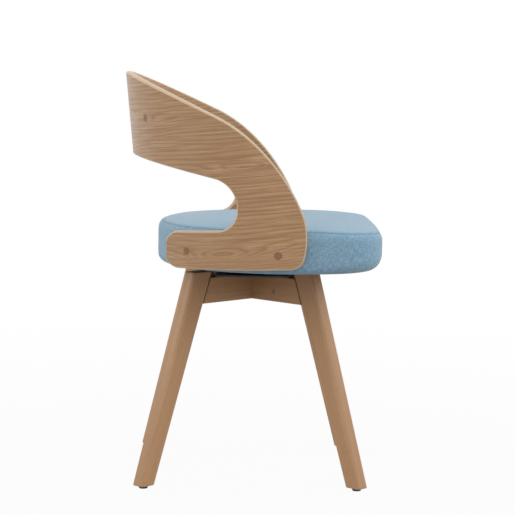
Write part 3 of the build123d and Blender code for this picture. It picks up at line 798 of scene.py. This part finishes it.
# %% [markdown]
# ## The seat cushion
# The cushion is foam on a board, under a top panel that is sewn to a side strip. Seen
# from the side its top is level, falls late to a soft shoulder and meets the strip at
# the seam, which drops a little towards the front. Sculpting it by hand would give that
# form once; written as heights over the pattern, each part of it stays a number.

# %% Cushion form
cushion_bottom = 0.397
cushion_crown = 0.4790
seam_height = 0.4707
seam_drop = 0.0040  # of the seam, from round_start to the front
dome_power = 3.5  # how late the dome falls off towards its edge
slack = 0.0010  # how much smaller the pillow starts
rear_round, front_round = 0.012, 0.029  # of the lower edge
round_start = 0.090  # where the edge starts to get rounder
top_round = 0.015
edge_rise = 0.0035  # of the dome over the seam, at its edge
rim_drop, rim_inner, rim_outer = 0.002, 0.034, 0.020  # of the low rim, and where it ends and starts
strip_rise, strip_inner = 0.0004, 0.050  # of the cloth turned in under the board
under_recess, recess_inner = 0.003, 0.056  # underside drawn up inside that cloth
cushion_net, cushion_pressure, cushion_travel = 0.005, 2.4, 0.003
held_rise = 0.006  # how far up the underside is pinned
seam_band, seam_hold = 0.003, 0.9  # half the breadth of the pinned seam, and how firmly


def way_round(loop, flat):
    """For the direction of each flat point: way along the loop, the loop's reach, its length."""
    middle = loop.mean(axis=0)
    ring = np.vstack((loop, loop[:1])) - middle
    bearing = np.unwrap(np.arctan2(ring[:, 1], ring[:, 0]))
    walked = np.concatenate(([0], np.cumsum(np.linalg.norm(np.diff(ring, axis=0), axis=1))))
    own = np.arctan2(flat[:, 1] - middle[1], flat[:, 0] - middle[0])
    own = bearing[0] + np.mod(own - bearing[0], 2 * pi)
    out = np.interp(own, bearing, np.linalg.norm(ring, axis=1))
    return np.interp(own, bearing, walked), out, walked[-1]


def forward_share(flat):
    """0 up to round_start, then rising smoothly to 1 at the front."""
    share = np.clip((flat[:, 0] - round_start) / (cushion_front - round_start), 0, 1)
    return share**2 * (3 - 2 * share)


def seam_at(flat):
    """Height of the seam, which drops a little towards the front."""
    return seam_height - seam_drop * forward_share(flat)


def crown(flat):
    """Top of the cushion: level in the middle, falling faster and faster to the seam."""
    _, reach, _ = way_round(pattern, flat)
    share = np.clip(np.linalg.norm(flat - pattern.mean(axis=0), axis=1) / reach, 0, 1)
    edge = seam_at(flat) + edge_rise
    return edge - slack + (cushion_crown - edge) * (1 - share**dome_power)


def underside(flat):
    """Flat bottom inside a soft low rim, drawn up inside the strip of turned-in cloth."""
    _, reach, _ = way_round(pattern, flat)
    from_edge = reach - np.linalg.norm(flat - pattern.mean(axis=0), axis=1)
    rim = np.interp(from_edge, (rim_outer, rim_inner), (rim_drop, 0))
    rim *= 1 - forward_share(flat)
    rise = np.interp(from_edge, (rim_outer, rim_inner, strip_inner, recess_inner),
                     (0.0, strip_rise, strip_rise, under_recess))
    return cushion_bottom - rim + rise


def cushion_held(points):
    """Pinned: the underside and the line of the seam."""
    flat_part = points[:, 2] < cushion_bottom + held_rise
    seam = np.abs(points[:, 2] - seam_at(points)) < seam_band
    return np.maximum(flat_part * 1.0, seam * seam_hold)


start_loop = drawn_in(pattern, slack)
lower_round = rear_round + (front_round - rear_round) * forward_share(start_loop)
cushion_levels = pillow(start_loop, underside, crown, lower_round, top_round)
cushion_start = skin_through("cushion_start", cushion_levels)
cushion_mesh = swollen("seat_cushion", cushion_start, cushion_net, cushion_pressure,
                       cushion_travel, cushion_held)
print("cushion:", len(cushion_mesh.polygons), "faces")

# %% [markdown]
# ## Cloth runs with its panels
# A woven cloth has two directions, and each cut panel carries them its own way.
# The top panel lies square to the chair, and the side strip follows the edge of the seat.
# Blender's own unwrapping would stretch the panels. So the cushion gets a map in metres:
# the top and the underside take the point's own place, and the strip takes its way round
# the pattern and its height.

# %% Cloth map of the cushion
facing_down = -0.75  # the upward part of a normal, below which a face is on the underside


def corners_of(mesh):
    """For each face corner: the number of its point and of its face."""
    point_number = read(mesh.loops, "vertex_index", 1, np.int32)[:, 0]
    sides = read(mesh.polygons, "loop_total", 1, np.int32)[:, 0]
    return point_number, np.repeat(np.arange(len(sides)), sides)


def add_cloth_map(mesh, places):
    """Stores a pair of cloth lengths for every face corner, in metres."""
    layer = mesh.uv_layers.new(name="cloth")
    layer.data.foreach_set("uv", np.ascontiguousarray(places, dtype=np.float32).ravel())


point_number, face_number = corners_of(cushion_mesh)
corner = points_of(cushion_mesh)[point_number]
centre, normal = read(cushion_mesh.polygons, "center"), read(cushion_mesh.polygons, "normal")
on_strip = (centre[:, 2] < seam_at(centre)) & (normal[:, 2] > facing_down)
walked, _, whole = way_round(pattern, corner[:, :2])
walked_face, _, _ = way_round(pattern, centre[:, :2])
walked += whole * np.round((walked_face[face_number] - walked) / whole)
strip = np.column_stack((walked, corner[:, 2]))
add_cloth_map(cushion_mesh, np.where(on_strip[face_number][:, None], strip, corner[:, :2]))
print("cushion map:", int(on_strip.sum()), "faces on the strip")

# %% [markdown]
# ## Linen
# The cloth is a plain weave of unevenly dyed yarn, so near by it shows threads and from
# afar a fine mottle. A picture of cloth would repeat; two waves at right angles make
# the crossing threads, and stretched noise dyes each of them by itself.

# %% Linen weave
yarn_pitch = 0.0011
linen_tones = [(0.32, 90, 126, 150), (0.5, 121, 155, 178), (0.68, 160, 186, 203)]
# the second colour is painted shade: the dark line of the seam's groove
mottle_tone, seam_shade_tone = paint(109, 144, 168), paint(70, 98, 116)
seam_core, seam_edge, seam_groove = 0.0006, 0.0016, 0.003  # metres from the middle of the seam

linen_weave, point, out = new_group(
    "linen_weave", [("Cloth", "Vector")], ["Thread", "Mottle", "Height"])
u, v, _ = parts(point["Cloth"])
warp_wave = calc("SINE", times(u, pi / yarn_pitch))
weft_wave = calc("SINE", times(v, pi / yarn_pitch))
over = span(times(warp_wave, weft_wave), -0.35, 0.35)
under = calc("SUBTRACT", 1.0, over)
warp_tone = noise(point["Cloth"], (900.0, 110.0, 1.0), 1.0)
weft_tone = noise(point["Cloth"], (110.0, 900.0, 1.0), 1.0)
warp_height = times(calc("ABSOLUTE", warp_wave), over)
give(out, Thread=calc("MULTIPLY_ADD", weft_tone, under, times(warp_tone, over)),
     Mottle=noise(point["Cloth"], (260.0, 260.0, 1.0), 3.0, 0.6),
     Height=calc("MULTIPLY_ADD", calc("ABSOLUTE", weft_wave), under, warp_height))
print("linen group:", len(linen_weave.nodes), "nodes")

# %% [markdown]
# The finish colours the weave and adds the seam. A seam could be modelled as a groove in
# the skin, but the net is too coarse for that, so the groove's shade is painted on as a
# thin dark line, with a bump. A weak sheen stands for the fibres that catch light at flat angles.

# %% Linen finish
linen, tree, surface = new_finish(
    "blue_linen", Roughness=0.9, Specular_IOR_Level=0.25,
    Sheen_Weight=0.32, Sheen_Roughness=0.40, Sheen_Tint=paint(240, 239, 235))
ahead, _, over_floor = parts(own_place(tree))
line = span(ahead, round_start, cushion_front, seam_height, seam_height - seam_drop,
            interpolation_type="SMOOTHSTEP")
seam_off = calc("ABSOLUTE", calc("SUBTRACT", over_floor, line))
# painted shade of the seam's groove, strongest on its middle line
seam = span(seam_off, seam_core, seam_edge, 0.42, 0.0)
weave = use(linen_weave, Cloth=place(tree, "ShaderNodeUVMap", uv_map="cloth").outputs[0])
yarn = ramp(weave["Thread"], linen_tones)
yarn = mix(span(weave["Mottle"], 0.35, 0.65, 0.0, 0.45), yarn, mottle_tone)
# paints the seam groove's shade over the yarn
yarn = mix(seam, yarn, seam_shade_tone)
height = calc("SUBTRACT", weave["Height"], span(seam_off, 0.0, seam_groove, 3.0, 0.0))
give(surface, Base_Color=yarn, Normal=bump(height, 0.4, 0.0003))
print("linen finish:", len(tree.nodes), "nodes")

# %% [markdown]
# In the frame the cushion is two plain solids, cover and foam.

# %% Cushion in the scene
cushion = put_in_scene("seat_cushion", cushion_mesh, linen)
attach(cushion, "seat")
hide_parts("seat_cover", "seat_foam")
print("cushion rides on the seat")

# %% [markdown]
# ## The back pad's pattern
# The back pad is foam on a thin curved board. It could be cut out of a thick cylinder
# with booleans, but then its edges would be hard to round. The real pad is cut flat and
# then follows the bend, and so does this one: its pattern has one direction round the
# leaning bend and one up its axis, and two functions go between pattern and space.

# %% Pad pattern
pad_rear_radius = 0.2467
pad_depth = 0.0268  # board and foam, before it swells
pad_corner = 0.028
pad_end = -0.150  # the pad's ends in the side view
pad_start = -0.290  # where the side view's lines start, behind the bend
pad_low = (0.628, 0.600)  # heights of the lower line at the start and at the end
pad_top = (0.738, 0.681)
line_points = 40


def flattened(points):
    """Way round the bend, way up its axis and depth inwards, of points in space."""
    x, y, z = points[:, 0] - bend_x, points[:, 1], points[:, 2] - bend_z
    ahead = x * cos(shell_lean) + z * sin(shell_lean)
    up = z * cos(shell_lean) - x * sin(shell_lean)
    turn = np.arctan2(y, -ahead)
    return np.column_stack((pad_rear_radius * turn, up, pad_rear_radius - np.hypot(ahead, y)))


def bent(flat):
    """Points in space from way round, way up and depth."""
    turn, radius = flat[:, 0] / pad_rear_radius, pad_rear_radius - flat[:, 2]
    ahead = -radius * np.cos(turn)
    x = bend_x + ahead * cos(shell_lean) - flat[:, 1] * sin(shell_lean)
    z = bend_z + ahead * sin(shell_lean) + flat[:, 1] * cos(shell_lean)
    return np.column_stack((x, radius * np.sin(turn), z))


def line_on_bend(turns, height, slope):
    """Pattern points where the side view's line from pad_start meets the bend."""
    ahead = -pad_rear_radius * np.cos(turns)
    rise = height - bend_z - ahead * sin(shell_lean)
    rise += slope * (bend_x + ahead * cos(shell_lean) - pad_start)
    rise /= cos(shell_lean) + slope * sin(shell_lean)
    return np.column_stack((pad_rear_radius * turns, rise))


def corner_on_bend(height, slope, side, start, end):
    """A rounded corner of the side view, laid on the bend; side is 1 under the line, -1 over it."""
    centre = height - slope * pad_corner - side * pad_corner * sqrt(1 + slope**2)
    x, z = arc((pad_end - pad_corner, centre), pad_corner, start, end).T
    ahead = (x - bend_x) * cos(shell_lean) + (z - bend_z) * sin(shell_lean)
    return flattened(np.column_stack((x, np.sqrt(pad_rear_radius**2 - ahead**2), z)))[:, :2]


def pad_pattern(step):
    """Lower line, end with its two corners, upper line; then the mirror image."""
    low_slope, top_slope = np.diff((pad_low, pad_top))[:, 0] / (pad_end - pad_start)
    low_corner = corner_on_bend(pad_low[1], low_slope, -1, atan2(-1, low_slope), 0)
    top_corner = corner_on_bend(pad_top[1], top_slope, 1, 0, atan2(1, -top_slope))
    low_turns = np.linspace(0, low_corner[0, 0] / pad_rear_radius, line_points)
    top_turns = np.linspace(top_corner[-1, 0] / pad_rear_radius, 0, line_points)
    half = np.vstack((line_on_bend(low_turns, pad_low[0], low_slope), low_corner,
                      top_corner, line_on_bend(top_turns, pad_top[0], top_slope)))
    return even_loop(np.vstack((half, half[-2:0:-1] * (-1, 1))), step)


pad_loop = pad_pattern(0.004)
print("pad pattern:", len(pad_loop), "points,", np.ptp(pad_loop, axis=0).round(3), "m")

# %% [markdown]
# The pad's form is the same pillow, over its own pattern, with a flat back against the
# board. It is made flat, bent, and then swollen like the cushion, because cloth that
# swells on the bend draws its edges in by itself.

# %% Pad form
pad_slack = 0.0015
pad_gap = 0.0002  # between the pad's back and the shell
pad_held_depth = 0.009  # the board's part of the depth
pad_rear_round, pad_front_round = 0.003, 0.010
pad_net, pad_pressure, pad_travel = 0.004, 3.0, 0.0028
small_step = 0.001  # along a normal, to see which way it points in the pattern


def pad_held(points):
    """Pinned: the part of the pad that the board fills."""
    return (flattened(points)[:, 2] < pad_held_depth) * 1.0


pad_levels = pillow(drawn_in(pad_loop, pad_slack), lambda flat: pad_gap, lambda flat: pad_depth,
                    pad_rear_round, pad_front_round, pad_net)
pad_levels = bent(pad_levels.reshape(-1, 3)).reshape(pad_levels.shape)
pad_start_mesh = skin_through("pad_start", pad_levels)
pad_mesh = swollen("back_pad_cloth", pad_start_mesh, pad_net, pad_pressure, pad_travel, pad_held)

# Its map is way round and up on the front; the edges go on into the depth.
point_number, face_number = corners_of(pad_mesh)
corner = flattened(points_of(pad_mesh))[point_number]
centre, normal = read(pad_mesh.polygons, "center"), read(pad_mesh.polygons, "normal")
outward = flattened(centre + small_step * normal) - flattened(centre)
facing_axis = np.abs(outward).argmax(axis=1)[face_number]
corner[:, 0] += np.where(facing_axis == 0, corner[:, 2], 0)
corner[:, 1] += np.where(facing_axis == 1, corner[:, 2], 0)
add_cloth_map(pad_mesh, corner[:, :2])

pad = put_in_scene("back_pad_cloth", pad_mesh, linen)
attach(pad, "seat")
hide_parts("back_pad")
print("pad:", len(pad_mesh.polygons), "faces")

# %% [markdown]
# ## The dust cover
# A thin black lining closes the underside. It is held to the board just inside the
# turned-in linen, drawn tight at even steps and a little slack between them. It hardly
# moves, so it needs no simulation: ripples by formula over the inner part of the
# cushion's pattern are enough, and a modifier gives the sheet its thickness.

# %% Dust cover
lining_inset = 0.0343
lining_height = 0.39765
lining_sag = 0.0008
lining_thickness = 0.0003
ripple_pitch = 0.038  # from one tight place to the next
ripple_start, ripple_full = 0.13, 0.18  # metres from the middle
stray_size, stray_count, stray_twist = 0.4, 17, 40  # of an uneven ripple over the even one
lining_rings = 44

lining_loop = drawn_in(pattern, lining_inset)
following = np.roll(lining_loop, -1, axis=0)
lining_length = np.linalg.norm(following - lining_loop, axis=1).sum()
x, y = lining_loop.T
ripple_count = int(lining_length / ripple_pitch)
lining_middle = lining_loop.mean(axis=0)


def lining_at(flat):
    """Height of the lining: low ripples along the edge, dying out towards the plate."""
    bearing = np.arctan2(flat[:, 1] - lining_middle[1], flat[:, 0] - lining_middle[0])
    out = np.linalg.norm(flat - lining_middle, axis=1)
    near_edge = np.clip((out - ripple_start) / (ripple_full - ripple_start), 0, 1)
    stray = stray_size * np.sin(stray_count * bearing + stray_twist * out)
    ripple = np.sin(ripple_count * bearing) + stray
    return lining_height - lining_sag * near_edge * (0.5 + 0.35 * ripple)


shares = np.linspace(cap_hole, 1, lining_rings)
rings = [lining_middle + share * (lining_loop - lining_middle) for share in shares]
lining_levels = np.array([np.column_stack((ring, lining_at(ring))) for ring in rings])
# The rings run clockwise, so the sheet's outer side looks down.
lining_skin = skin_through("dust_lining", lining_levels[:, ::-1], closed=False)
lining = put_in_scene("dust_lining", lining_skin, black_lining)
lining.modifiers.new("thickness", "SOLIDIFY").thickness = lining_thickness
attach(lining, "seat")
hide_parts("dust_cover")
print("lining:", ripple_count, "ripples on", lining_length.round(3), "m")

# %% [markdown]
# ## At the end
# The box of the frame and the box of the finished chair are printed side by side. The
# finished chair must stay inside the box of the frame it was dressed on.

# %% Sizes at the end
size = {"cad": [list(map(float, corner)) for corner in cad_box],
        "scene": [list(map(float, corner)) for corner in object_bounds()]}
print("box of the frame and of the finished chair:", size)
